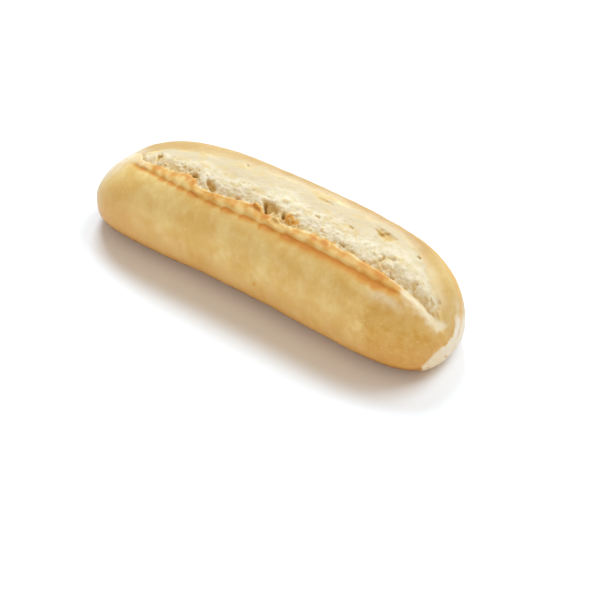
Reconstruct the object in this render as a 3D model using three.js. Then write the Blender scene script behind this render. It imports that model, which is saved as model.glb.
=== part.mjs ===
// Bolillo roll: one baked loaf with a flat heel, a long slash along its crown, the ear of crust
// that the slash lifted, and the torn crumb that swelled up between the ear and the far crust.
//
// Millimetres. The roll rests on its heel at z = 0. +X runs along its length, towards the blunter
// nose where the slash runs out, -Y is the flank under the ear, and +Z is up. The origin lies under
// the middle of its box.
//
// A place on the skin is given by a station, -1 at the slim tail to 1 at the nose, and by an angle
// round the section at that station: 0 at the back, 90 at the crown, 180 at the front, 270 below.

import * as THREE from "three";

const LENGTH = 175;
const WIDTH = 53.5;
const HEIGHT = 41.5;
const BOW = 5; // how far both ends bend towards the front flank
const HEEL_CUT = 1.2; // what the flat heel takes off the rounded underside
const TIP_HEIGHT = 0.22; // of the height, where both ends come to their points
const GIRTH_HEIGHT = 0.42; // of the height, where the section is widest
const CROWN_SQUARENESS = 0.9; // exponent on sine and cosine: 1 is an ellipse, less is boxier
const FLANK_SQUARENESS = 0.55;
const HEEL_RUN = 14.5; // exponent that keeps the underside level almost to the ends

// How each end closes: exponents of its outline from above, and of its crown from the side.
const TAIL = { plan: 6.6, roundness: 2.0, crown: 3.05 };
const NOSE = { plan: 5.4, roundness: 2.45, crown: 5.05 };

// The lines of the slash as [station, angle]: the crease under the ear, the ear's torn edge, and
// the edge of the crust on the far side.
const CREASE = [
  [-1.0, 104],
  [-0.77, 113],
  [-0.5, 125],
  [-0.2, 130],
  [0.3, 128.5],
  [0.7, 124],
  [1.0, 118],
];
const EAR_EDGE = [
  [-1.0, 98],
  [-0.76, 107.5],
  [-0.5, 114.5],
  [-0.36, 116.5],
  [-0.25, 121.5],
  [-0.12, 117.5],
  [0.4, 116],
  [0.7, 115],
  [0.88, 109.5],
  [1.0, 110],
];
const FAR_EDGE = [
  [-1.0, 98],
  [-0.78, 107],
  [-0.72, 96],
  [-0.64, 86.5],
  [-0.5, 81],
  [-0.25, 76],
  [0.05, 69.5],
  [0.2, 67.5],
  [0.4, 70],
  [0.64, 68],
  [0.76, 76],
  [0.86, 85.5],
  [0.94, 91],
  [1.0, 105],
];

// Relief of the slash. The ear is a bead that rises over the crease and eases off to its torn edge,
// and its pleats are scallops that run askew over it, deepest towards the tail.
const EAR = { rise: 1.25, overhang: 0.9, crest: 0.4, easeFrom: 0.6, ease: 0.3 };
const PLEAT = { depth: 0.42, pitch: 6.2, skew: 0.4, drift: 0.7, driftSize: 17 };
const PLEAT_FADE = { from: -0.05, to: 0.5, share: 0.75 };
const CREASE_DEPTH = 1.0;
const CREASE_WIDTH = 1.3;
const TROUGH_DEPTH = 1.5; // the drop from the ear's edge to the crumb
const TROUGH_WIDTH = 3.2;
const CRUMB_RISE = 0.9; // how far the middle of the crumb swells up again
const FAR_STEP = 0.35; // the crumb's small drop below the far crust
const FAR_STEP_SHARE = 0.08; // of the crumb's width, that the drop takes
const CRAG_DEPTH = 0.45; // unevenness of the torn crumb, which dies out at the far crust
const CRAG_SIZE = { length: 5, degrees: 10 };
const CRAG_EDGE = [0.05, 0.5];
const SWELL_DEPTH = 0.3; // slow unevenness of the crust
const SWELL_SIZE = { length: 24, degrees: 24 };
const SLASH_ENDS = [-0.82, -0.7, 0.93, 0.985]; // stations over which the slash opens and closes
const EAR_ENDS = [0.74, 0.87]; // stations over which the ear sinks back into the nose
const TURNED_EDGE = 1.6; // how far the crust rounds over into the slash past the ear
const MM_PER_DEGREE = 0.45; // round the crown

// Holes and hollows of the crumb, from above: the middle x and y, the length along turn degrees
// from +X, the width across it, and the depth. The last one is a flake that stands up.
const HOLLOW_EDGE = [0.35, 1.15]; // shares of its half size over which a hollow's wall rises
const HOLLOWS = [
  { x: -55.5, y: -7, length: 4.4, width: 2.4, turn: 80, depth: 1.4 },
  { x: -34.5, y: -10.5, length: 3.6, width: 2.4, turn: 0, depth: 1.3 },
  { x: -23.5, y: -12.2, length: 7.5, width: 4, turn: -25, depth: 2.1 },
  { x: 4.5, y: -10.2, length: 9, width: 5.4, turn: 20, depth: 2.8 },
  { x: 10.5, y: -10.8, length: 4.6, width: 3.2, turn: 0, depth: 1.8 },
  { x: 50.5, y: 2.6, length: 8.5, width: 3.4, turn: 0, depth: 1.7 },
  { x: 59.3, y: -8.5, length: 7.2, width: 6.4, turn: 0, depth: 1.1 },
  { x: 68, y: -11, length: 12, width: 5, turn: 8, depth: 1.3 },
  { x: 78, y: -8.6, length: 12, width: 5.5, turn: 12, depth: 1.6 },
  { x: 15.5, y: -11, length: 5, width: 4, turn: 0, depth: -1.2 },
];

// The skin's net of triangles. The ring counts are those of a full section: round an end the rings
// have fewer points, so the triangles keep their size.
const STATIONS = 88;
const STATION_EVENNESS = 4; // higher spaces the stations more evenly and closes the ends faster
const FLANK_STEPS = 14; // from the heel's middle up to the crease
const EAR_STEPS = 4; // from the crease to the ear's edge
const CRUMB_STEPS = 18; // from the ear's edge to the far crust
const BACK_STEPS = 18; // from the far crust down to the heel's middle
const RING_STEPS = FLANK_STEPS + EAR_STEPS + CRUMB_STEPS + BACK_STEPS;
const LEAST_BAND = 32; // degrees that the crumb's steps cover where the slash is narrow or shut
const LEAST_RING = 8;
const RING_EDGE = 1.45; // millimetres of width and height that earn a ring one more point

const CRUST_COLOUR = 0xdcb46e;
const CRUST_ROUGHNESS = 0.62;
const SEED = 7;
const ROW_SEEDS = 5003; // seeds between one row of the lattice and the next
const DRIFT_ROW = 3; // the lattice row that the pleats drift by

const { clamp, degToRad, lerp, seededRandom, smoothstep } = THREE.MathUtils;

// A smooth line through rows of [station, value].
function lineThrough(rows) {
  const stations = rows.map(([station]) => station);
  const values = rows.map(([, value]) => value);
  const line = new THREE.CubicInterpolant(stations, values, 1, new Float32Array(1));
  return (station) => line.evaluate(station)[0];
}

const creaseAt = lineThrough(CREASE);
const earEdgeAt = lineThrough(EAR_EDGE);
const farEdgeAt = lineThrough(FAR_EDGE);

// One seeded value, from -1 to 1, for each whole x and y.
function latticeValue(x, y) {
  return 2 * seededRandom(SEED + ROW_SEEDS * y + x) - 1;
}

// Smooth unevenness between the lattice's values.
function unevenness(x, y) {
  const left = Math.floor(x);
  const low = Math.floor(y);
  const across = smoothstep(x - left, 0, 1);
  const up = smoothstep(y - low, 0, 1);
  return lerp(
    lerp(latticeValue(left, low), latticeValue(left + 1, low), across),
    lerp(latticeValue(left, low + 1), latticeValue(left + 1, low + 1), across),
    up,
  );
}

// A smooth hump of height 1, a few widths across.
function bump(away, width) {
  return Math.exp(-((away / width) ** 2));
}

// The plain loaf's section at a station: its half width, top, bottom, widest height and bow.
function sectionAt(station) {
  const end = station < 0 ? TAIL : NOSE;
  const away = Math.min(Math.abs(station), 1);
  const full = HEIGHT + HEEL_CUT;
  const tip = TIP_HEIGHT * full;
  const crown = Math.sqrt(1 - away ** end.crown);
  const heel = Math.sqrt(1 - away ** HEEL_RUN);
  return {
    halfWidth: (WIDTH / 2) * (1 - away ** end.plan) ** (1 / end.roundness),
    top: lerp(tip, full, crown),
    bottom: tip * (1 - heel),
    girth: lerp(tip, GIRTH_HEIGHT * full, crown),
    bow: -BOW * station ** 2,
  };
}

// A sine or cosine drawn towards a box.
function squared(value, squareness) {
  return Math.sign(value) * Math.abs(value) ** squareness;
}

// The section's outline at an angle, raised by the given height along its own outward direction
// and leaned out to the front. Whatever would reach below the heel lies flat on it.
function skinPoint(station, section, angle, height, lean) {
  const cosine = Math.cos(degToRad(angle));
  const sine = Math.sin(degToRad(angle));
  const reach = sine > 0 ? section.top - section.girth : section.girth - section.bottom;
  const squareness = sine > 0 ? CROWN_SQUARENESS : FLANK_SQUARENESS;
  const outward = new THREE.Vector2(
    cosine / Math.max(section.halfWidth, 1),
    sine / Math.max(reach, 1),
  ).normalize();
  const y = section.halfWidth * squared(cosine, CROWN_SQUARENESS) + outward.x * height - lean;
  const z = section.girth + reach * squared(sine, squareness) + outward.y * height;
  return new THREE.Vector3(
    (station * LENGTH) / 2,
    y + section.bow,
    Math.max(z - HEEL_CUT, 0),
  );
}

// The sum of the hollows at a place seen from above, each a smooth bowl.
function hollowsAt(x, y) {
  let height = 0;
  for (const hollow of HOLLOWS) {
    const place = new THREE.Vector2(x - hollow.x, y - hollow.y);
    place.rotateAround(new THREE.Vector2(), degToRad(-hollow.turn));
    const away = Math.hypot(place.x / hollow.length, place.y / hollow.width) * 2;
    height -= hollow.depth * (1 - smoothstep(away, ...HOLLOW_EDGE));
  }
  return height;
}

// How far the slash stands open at a station, from 0 to 1.
function openingAt(station) {
  const [tailShut, tailOpen, noseOpen, noseShut] = SLASH_ENDS;
  return smoothstep(station, tailShut, tailOpen) * (1 - smoothstep(station, noseOpen, noseShut));
}

// How much of the slash's edge is a lifted ear there, and not crust that rounds over.
function earAt(station) {
  return 1 - smoothstep(station, ...EAR_ENDS);
}

// Height of the pleats at a share of the way from the crease to the ear's edge.
function pleatAt(station, share) {
  const x = (station * LENGTH) / 2;
  const drift = PLEAT.drift * unevenness(x / PLEAT.driftSize, DRIFT_ROW);
  const fade = 1 - PLEAT_FADE.share * smoothstep(station, PLEAT_FADE.from, PLEAT_FADE.to);
  const turns = x / PLEAT.pitch + drift + PLEAT.skew * share;
  return PLEAT.depth * fade * Math.cos(2 * Math.PI * turns);
}

// Height and lean of the skin over the plain loaf, at a station and an angle.
function reliefAt(station, section, angle) {
  const crease = creaseAt(station);
  const earEdge = earEdgeAt(station);
  const farEdge = farEdgeAt(station);
  const open = openingAt(station);
  const ear = open * earAt(station);
  const degree = (MM_PER_DEGREE * section.halfWidth * 2) / WIDTH;
  const x = (station * LENGTH) / 2;
  const swell = SWELL_DEPTH * unevenness(x / SWELL_SIZE.length, angle / SWELL_SIZE.degrees);
  if (angle >= earEdge) {
    const share = clamp((crease - angle) / (crease - earEdge), 0, 1);
    const pleat = pleatAt(station, share);
    const eased = 1 - EAR.ease * smoothstep(share, EAR.easeFrom, 1);
    const bead = smoothstep(share, 0, EAR.crest) * eased;
    const groove = bump((crease - angle) * degree, CREASE_WIDTH);
    const turned = bump((angle - earEdge) * degree, TURNED_EDGE);
    const lifted = EAR.rise * bead + pleat * (bead + groove) - CREASE_DEPTH * groove;
    return {
      height: swell + ear * lifted - (open - ear) * TROUGH_DEPTH * turned,
      lean: ear * bead * (EAR.overhang + pleat),
    };
  }
  if (angle <= farEdge) return { height: swell, lean: 0 };
  const across = (earEdge - angle) / (earEdge - farEdge);
  const crags = unevenness(x / CRAG_SIZE.length, angle / CRAG_SIZE.degrees);
  const crumb =
    CRUMB_RISE * Math.sin(Math.PI * across) ** 2 -
    TROUGH_DEPTH * bump((earEdge - angle) * degree, TROUGH_WIDTH) -
    FAR_STEP * smoothstep(1 - across, 0, FAR_STEP_SHARE) +
    CRAG_DEPTH * crags * smoothstep(1 - across, ...CRAG_EDGE);
  return { height: swell + open * crumb, lean: 0 };
}

// Maps a share of the way round, from the heel's middle up the front and down the back, to an
// angle. Whole steps of a full ring fall on the crease, on the ear's edge and on the far edge.
function angleAt(station, share) {
  const crease = creaseAt(station);
  const earEdge = earEdgeAt(station);
  const farEdge = Math.min(farEdgeAt(station), earEdge - LEAST_BAND);
  const spans = [
    [FLANK_STEPS, 270, crease],
    [EAR_STEPS, crease, earEdge],
    [CRUMB_STEPS, earEdge, farEdge],
    [BACK_STEPS, farEdge, -90],
  ];
  let step = share * RING_STEPS;
  for (const [steps, from, to] of spans) {
    if (step <= steps) return lerp(from, to, step / steps);
    step -= steps;
  }
  return -90;
}

// The skin's points at one station.
function ringAt(station) {
  const section = sectionAt(station);
  const girth = 2 * section.halfWidth + section.top - section.bottom;
  const count = clamp(Math.round(girth / RING_EDGE), LEAST_RING, RING_STEPS);
  return Array.from({ length: count }, (_, step) => {
    const angle = angleAt(station, step / count);
    const { height, lean } = reliefAt(station, section, angle);
    const point = skinPoint(station, section, angle, height, lean);
    if (angle < earEdgeAt(station) && angle > farEdgeAt(station))
      point.z += openingAt(station) * hollowsAt(point.x, point.y);
    return point;
  });
}

// Stations from the tail to the nose, closer together where the ends turn in.
function stations() {
  return Array.from({ length: STATIONS }, (_, step) => {
    const share = (2 * (step + 1)) / (STATIONS + 1) - 1;
    const even = 1 / STATION_EVENNESS;
    return share * (1 + even - even * Math.abs(share) ** STATION_EVENNESS);
  });
}

// Triangles between two neighbouring rings, whose first point and count are given. It moves on
// along whichever ring lags, so the rings may differ in count, and a ring of one point is a tip.
function stitch(triangles, back, front) {
  let behind = 0;
  let ahead = 0;
  while (behind < back.count || ahead < front.count) {
    const backPoint = back.first + (behind % back.count);
    const frontPoint = front.first + (ahead % front.count);
    if ((behind + 1) / back.count <= (ahead + 1) / front.count) {
      behind += 1;
      const next = back.first + (behind % back.count);
      if (back.count > 1) triangles.push(backPoint, frontPoint, next);
    } else {
      ahead += 1;
      const next = front.first + (ahead % front.count);
      if (front.count > 1) triangles.push(backPoint, frontPoint, next);
    }
  }
}

function rollGeometry() {
  const rings = stations().map(ringAt);
  const tips = [-1, 1].map((station) => skinPoint(station, sectionAt(station), 0, 0, 0));
  const chain = [[tips[0]], ...rings, [tips[1]]];
  const starts = [];
  const points = [];
  for (const ring of chain) {
    starts.push({ first: points.length, count: ring.length });
    points.push(...ring);
  }
  const triangles = [];
  for (let ring = 1; ring < starts.length; ring += 1)
    stitch(triangles, starts[ring - 1], starts[ring]);
  const solid = new THREE.BufferGeometry().setFromPoints(points);
  solid.setIndex(triangles);
  solid.computeBoundingBox();
  const middle = solid.boundingBox.getCenter(new THREE.Vector3());
  solid.translate(-middle.x, -middle.y, 0);
  solid.computeVertexNormals();
  return solid;
}

const roll = new THREE.Mesh(
  rollGeometry(),
  new THREE.MeshStandardMaterial({ color: CRUST_COLOUR, roughness: CRUST_ROUGHNESS, metalness: 0 }),
);
roll.name = "roll";

const bread = new THREE.Group();
bread.add(roll);

export default bread;
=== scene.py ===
"""The looks of a bolillo roll: a crusty loaf with a long slash, its torn crumb and two pale ends.

Shapes are worked out in millimetres in the loaf's own frame: +X runs along it towards the blunter
nose, -Y is the flank under the ear of crust, +Z is up, and the heel lies flat on z = 0. A place on
the skin is a station, -1 at the slim tail to 1 at the nose, and an angle in degrees round the
section there: 0 at the back, 90 at the crown, 180 at the front and 270 below.
"""

import itertools
import logging
import math
from dataclasses import dataclass, field
from enum import Enum

import bpy
import numpy as np
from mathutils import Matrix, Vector


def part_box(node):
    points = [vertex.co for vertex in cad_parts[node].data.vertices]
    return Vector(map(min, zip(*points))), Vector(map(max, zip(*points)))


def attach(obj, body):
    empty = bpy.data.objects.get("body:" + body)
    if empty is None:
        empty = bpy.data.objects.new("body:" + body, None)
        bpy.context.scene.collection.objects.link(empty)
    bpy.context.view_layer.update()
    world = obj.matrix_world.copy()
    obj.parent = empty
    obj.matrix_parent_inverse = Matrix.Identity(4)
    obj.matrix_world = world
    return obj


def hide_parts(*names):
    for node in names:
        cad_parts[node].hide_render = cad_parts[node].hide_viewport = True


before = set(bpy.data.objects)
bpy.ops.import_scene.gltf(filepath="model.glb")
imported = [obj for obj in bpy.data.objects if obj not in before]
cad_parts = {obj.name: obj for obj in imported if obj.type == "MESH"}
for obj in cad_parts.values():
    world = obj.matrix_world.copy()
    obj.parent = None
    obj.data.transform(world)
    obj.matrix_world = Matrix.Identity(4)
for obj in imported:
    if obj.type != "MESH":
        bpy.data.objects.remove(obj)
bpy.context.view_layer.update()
ROLL_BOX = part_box("roll")
MM = 0.001  # metres
TINY = 1e-12  # keeps a division by a length of nothing safe
MIX_UNDER, MIX_OVER, MIX_RESULT = 6, 7, 2  # a mix node's colour sockets, whose names others share

Array = np.ndarray
Colour = tuple[float, float, float]
Knots = tuple[tuple[float, float], ...]

log = logging.getLogger("bolillo")


class Layer(Enum):
    """What the mesh carries at each vertex for its finish, painted shade and highlights among it: 0 to 1,
    or to 1.5 for cavity and bake.
    """

    CRUMB = "crumb"
    # Cavity: where the crumb's finish paints shade in its hollows and pores.
    CAVITY = "cavity"
    # Toast: browning, with painted shade in the crease, under the ear and along the foot.
    TOAST_AND_SHADE = "toast_and_shade"
    # Pale: pale crust, partly painted highlights on the turned crust and in a streak at the nose.
    PALE = "pale"
    FLOUR = "flour"
    # Blush: a warmer tint low on the flanks, partly painted shade that darkens towards the heel.
    BLUSH_AND_SHADE = "blush_and_shade"
    # Bake: deeper bake, deepest on the back, where it is partly painted shade against the lamps.
    BAKE = "bake"
    # Tan: a duller tan beyond the slash, partly painted shade over the lamp-lit far crust.
    TAN = "tan"
    # Crag: how craggy the crumb is, which places its dots of painted pore shade and its dull painted shade.
    CRAG = "crag"


# ------------------------------------------------------------------------------ small functions


def smoothstep(value: Array, low: float, high: float) -> Array:
    """A smooth rise from 0 at low to 1 at high."""
    share = np.clip((value - low) / (high - low), 0.0, 1.0)
    return share * share * (3.0 - 2.0 * share)


def bump(away: Array, width: float) -> Array:
    """A smooth hump of height 1, a few widths across."""
    return np.exp(-((away / width) ** 2))


def lerp(low: Array, high: Array, share: Array) -> Array:
    """The value at a share of the way from low to high."""
    return low + (high - low) * share


def squared(value: Array, exponent: float) -> Array:
    """A sine or cosine drawn towards a box by an exponent under 1."""
    return np.sign(value) * np.abs(value) ** exponent


def linear(red: int, green: int, blue: int) -> Colour:
    """A screen colour from 0 to 255 as the linear colour that a shader takes, by the sRGB curve."""
    shares = (channel / 255 for channel in (red, green, blue))
    return tuple(s / 12.92 if s <= 0.04045 else ((s + 0.055) / 1.055) ** 2.4 for s in shares)


@dataclass(frozen=True)
class Rise:
    """A smooth change from a first to a last value, as what it follows goes from low to high."""

    low: float
    high: float
    first: float = 0.0
    last: float = 1.0

    def at(self, value: Array) -> Array:
        """The result at each value that it follows."""
        return lerp(self.first, self.last, smoothstep(value, self.low, self.high))


@dataclass(frozen=True)
class Spot:
    """A soft oval on the skin: its middle, and how far it reaches in two directions."""

    middle: tuple[float, float]
    sizes: tuple[float, float]

    def at(self, along: Array, across: Array) -> Array:
        """From 1 at its middle down to 0."""
        aside = (along - self.middle[0]) / self.sizes[0]
        return bump(np.hypot(aside, (across - self.middle[1]) / self.sizes[1]), 1)


@dataclass(frozen=True)
class Line:
    """A smooth line through knots of (place, value), level beyond the first and the last."""

    knots: Knots

    def at(self, place: Array) -> Array:
        """Reads the line.

        Args:
            place: Where to read it.

        Returns:
            The line's value at each place.
        """
        places, values = np.array(self.knots, float).T
        slopes = np.diff(values) / np.diff(places)
        tangents = np.concatenate([[0.0], (slopes[1:] + slopes[:-1]) / 2, [0.0]])
        held = np.clip(place, places[0], places[-1])
        knot = np.clip(np.searchsorted(places, held, side="right") - 1, 0, len(places) - 2)
        run = places[knot + 1] - places[knot]
        share = (held - places[knot]) / run
        back = 1.0 - share
        return (
            values[knot] * back * back * (1 + 2 * share)
            + values[knot + 1] * share * share * (3 - 2 * share)
            + run * share * back * (tangents[knot] * back - tangents[knot + 1] * share)
        )


@dataclass
class Grain:
    """Seeded smooth noise in space, between about -1 and 1."""

    seed: int
    period: int = 48  # lattice cells before it repeats
    gain: float = 1.7
    slopes: Array = field(init=False)

    def __post_init__(self) -> None:
        """Draws the lattice's slopes."""
        draw = np.random.default_rng(self.seed).normal(size=(self.period,) * 3 + (3,))
        self.slopes = draw / np.linalg.norm(draw, axis=-1, keepdims=True)

    def at(self, points: Array, spacing: float | tuple[float, float, float]) -> Array:
        """Reads the noise.

        Args:
            points: Places in millimetres, one to a row.
            spacing: The size of its lumps in millimetres, or one size for each axis.

        Returns:
            The noise at each point.
        """
        place = points / np.asarray(spacing, float) + self.seed
        corner = np.floor(place).astype(int)
        away = place - corner
        ease = away**3 * (away * (away * 6 - 15) + 10)
        total = np.zeros(len(points))
        for step in itertools.product((0, 1), repeat=3):
            cell = (corner + step) % self.period
            slope = self.slopes[cell[:, 0], cell[:, 1], cell[:, 2]]
            weight = np.prod(np.where(np.array(step) == 1, ease, 1 - ease), axis=1)
            total += weight * np.einsum("ij,ij->i", slope, away - step)
        return self.gain * total

    def layers(
        self, points: Array, spacing: float | tuple[float, float, float], octaves: int, fade: float = 0.5
    ) -> Array:
        """Adds up the noise at finer and finer sizes.

        Args:
            points: Places in millimetres.
            spacing: The size of the largest lumps, or one size for each axis.
            octaves: How many sizes, each half the one before.
            fade: The strength of each size next to the one before.

        Returns:
            The sum at each point.
        """
        sizes = np.asarray(spacing, float)
        return sum(fade**k * self.at(points, sizes / 2**k) for k in range(octaves))


@dataclass(frozen=True)
class Rough:
    """One kind of unevenness: how strong, how large in millimetres, and in how many finer sizes."""

    strength: float
    size: float | tuple[float, float, float]
    octaves: int = 1
    shift: float = 0.0  # where in the noise it is read, so that no two kinds match
    fade: float = 0.5

    def at(self, grain: Grain, points: Array) -> Array:
        """How strong it is at each point, read from the noise given."""
        return self.strength * grain.layers(points + self.shift, self.size, self.octaves, self.fade)


@dataclass
class Pits:
    """Round pits scattered in space, at most one in each cell of a lattice."""

    seed: int
    spacing: float
    share: float  # of the cells that hold a pit
    radii: tuple[float, float]
    floor: float = 0.15  # share of the radius that the pit's flat bottom takes
    period: int = 40

    def at(self, points: Array) -> Array:
        """Reads the pits.

        Args:
            points: Places in millimetres.

        Returns:
            From 0 outside every pit to 1 at the bottom of one.
        """
        draw = np.random.default_rng(self.seed)
        middles = draw.uniform(0, 1, (self.period,) * 3 + (3,))
        held = draw.uniform(0, 1, (self.period,) * 3) < self.share
        radius = draw.uniform(*self.radii, (self.period,) * 3)
        corner = np.floor(points / self.spacing).astype(int)
        deepest = np.zeros(len(points))
        for step in itertools.product((-1, 0, 1), repeat=3):
            near = corner + step
            x, y, z = (near % self.period).T
            away = np.linalg.norm(points - (near + middles[x, y, z]) * self.spacing, axis=1)
            pit = 1 - smoothstep(away / radius[x, y, z], self.floor, 1.0)
            deepest = np.maximum(deepest, np.where(held[x, y, z], pit, 0.0))
        return deepest


# --------------------------------------------------------------------------------- the plain loaf


@dataclass(frozen=True)
class EndShape:
    """How one end closes: exponents of its outline from above and of its crown from the side."""

    plan: float
    roundness: float
    crown: float


@dataclass(frozen=True)
class Section:
    """The plain loaf's half width, top, bottom, widest height and bow, at each station."""

    half_width: Array
    top: Array
    bottom: Array
    girth: Array
    bow: Array


@dataclass(frozen=True)
class Loaf:
    """The plain loaf: a long rounded box that bows to the front and rests on a flat heel."""

    length: float
    width: float = 53.5
    height: float = 41.5
    bow: float = 5.0  # how far both ends bend to the front
    heel_cut: float = 1.2  # what the heel takes off the rounded underside
    tip_height: float = 0.22  # of the height, where both ends come to their points
    girth_height: float = 0.42  # of the height, where the section is widest
    crown_squareness: float = 0.9
    flank_squareness: float = 0.55
    heel_run: float = 14.5  # exponent that keeps the underside level almost to the ends
    tail: EndShape = EndShape(plan=6.6, roundness=2.0, crown=3.05)
    nose: EndShape = EndShape(plan=5.4, roundness=2.45, crown=5.05)

    def end_values(self, station: Array, name: str) -> Array:
        """One exponent of whichever end each station belongs to."""
        return np.where(station < 0, getattr(self.tail, name), getattr(self.nose, name))

    def section(self, station: Array) -> Section:
        """Works out the section at each station.

        Args:
            station: From -1 at the tail to 1 at the nose.

        Returns:
            The section's sizes, in the shape of the stations.
        """
        away = np.minimum(np.abs(station), 1.0)
        full = self.height + self.heel_cut
        tip = self.tip_height * full
        crown = np.sqrt(1 - away ** self.end_values(station, "crown"))
        heel = np.sqrt(1 - away**self.heel_run)
        plan = 1 - away ** self.end_values(station, "plan")
        return Section(
            half_width=self.width / 2 * plan ** (1 / self.end_values(station, "roundness")),
            top=lerp(tip, full, crown),
            bottom=tip * (1 - heel),
            girth=lerp(tip, self.girth_height * full, crown),
            bow=-self.bow * station**2,
        )

    def skin(self, station: Array, angle: Array, height: Array, lean: Array) -> Array:
        """Places points of the skin.

        Args:
            station: From -1 to 1.
            angle: Degrees round the section.
            height: How far the skin stands out there, in its section's plane.
            lean: How far it leans out to the front.

        Returns:
            The points, with x, y and z along the last axis.
        """
        section = self.section(station)
        cosine = np.cos(np.radians(angle))
        sine = np.sin(np.radians(angle))
        above = sine > 0
        reach = np.where(above, section.top - section.girth, section.girth - section.bottom)
        squareness = np.where(above, self.crown_squareness, self.flank_squareness)
        across = cosine / np.maximum(section.half_width, 1.0)
        up = sine / np.maximum(reach, 1.0)
        size = np.hypot(across, up)
        y = section.half_width * squared(cosine, self.crown_squareness)
        y = y + height * across / size - lean + section.bow
        z = section.girth + reach * squared(sine, squareness) + height * up / size
        x = np.broadcast_to(station * self.length / 2, y.shape)
        return np.stack([x, y, np.maximum(z - self.heel_cut, 0.0)], axis=-1)


# -------------------------------------------------------------------------------------- the slash


@dataclass(frozen=True)
class Hollow:
    """A smooth bowl in the crumb, seen from above. A negative depth makes it a flake."""

    x: float
    y: float
    length: float
    width: float
    turn: float  # degrees from +X to its length
    depth: float
    side: tuple[float, float] = (0.4, 1.12)  # shares of the way out where its side starts and ends

    def at(self, x: Array, y: Array) -> Array:
        """The bowl's depth at places seen from above.

        Args:
            x: Millimetres along the loaf.
            y: Millimetres towards the back.

        Returns:
            The depth there, in the shape of x.
        """
        turn = math.radians(self.turn)
        along = (x - self.x) * math.cos(turn) + (y - self.y) * math.sin(turn)
        across = (y - self.y) * math.cos(turn) - (x - self.x) * math.sin(turn)
        away = 2 * np.hypot(along / self.length, across / self.width)
        return self.depth * (1 - smoothstep(away, *self.side))


@dataclass(frozen=True)
class Wander:
    """How a line along the loaf strays, in coarse and fine bends."""

    row: float  # which row of the noise it reads
    sizes: tuple[float, float]
    strengths: tuple[float, float]

    def at(self, grain: Grain, x: Array) -> Array:
        """The line's offset at each x.

        Args:
            grain: The noise that it reads.
            x: Millimetres along the loaf.

        Returns:
            The offset, in the line's own measure.
        """
        points = np.stack([x, np.full_like(x, self.row), np.full_like(x, self.row)], axis=-1).reshape(-1, 3)
        pairs = zip(self.sizes, self.strengths)
        return sum(strong * grain.at(points, (size, 1, 1)) for size, strong in pairs).reshape(x.shape)


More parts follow.
